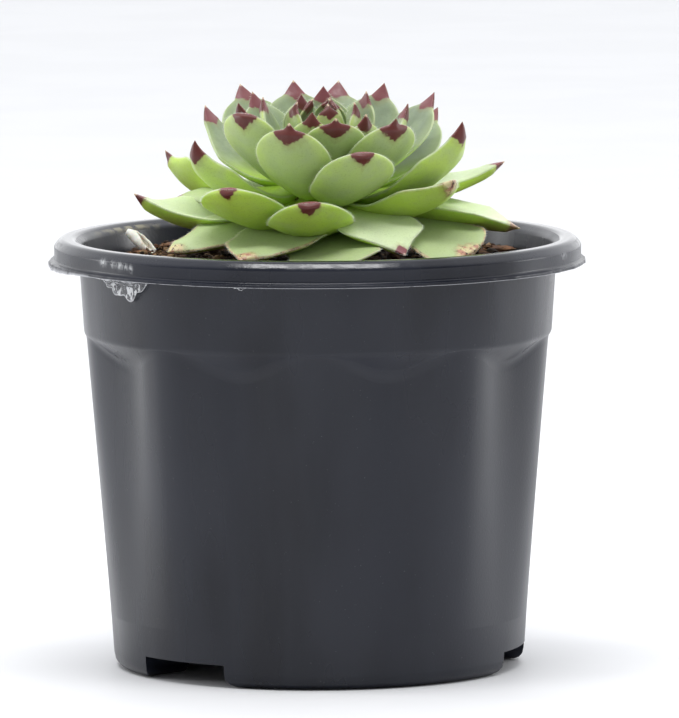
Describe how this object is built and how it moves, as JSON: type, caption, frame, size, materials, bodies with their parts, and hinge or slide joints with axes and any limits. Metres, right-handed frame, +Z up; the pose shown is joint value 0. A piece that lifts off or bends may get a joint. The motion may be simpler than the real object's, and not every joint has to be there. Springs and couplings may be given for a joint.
{
  "type": "potted houseleek",
  "caption": "Houseleek rosette of thick pointed leaves growing in soil in a small round fluted nursery pot with a rolled rim and drainage feet.",
  "frame": {"origin": "on the floor at the middle of the pot's base", "axes": "+Z up, -Y towards the front of the picture, +X to its right"},
  "size_m": [0.102, 0.102, 0.1102],
  "materials": {
    "black_plastic": "satin charcoal black polypropylene",
    "potting_mix": "damp dark peat and bark mix; wood stands in for it",
    "leaf_flesh": "waxy pale green leaf with maroon points; rubber stands in for the fleshy leaf",
    "bark": "rough reddish brown bark",
    "dry_husk": "dry pale husk"
  },
  "bodies": {
    "root": {"pot": "black_plastic", "soil": "potting_mix", "rosette": "leaf_flesh", "bark_chip_left": "bark", "bark_chip_left_small": "bark", "bark_chip_right": "bark", "bark_chip_right_small": "bark", "husk_pale": "dry_husk"}
  },
  "joints": []
}
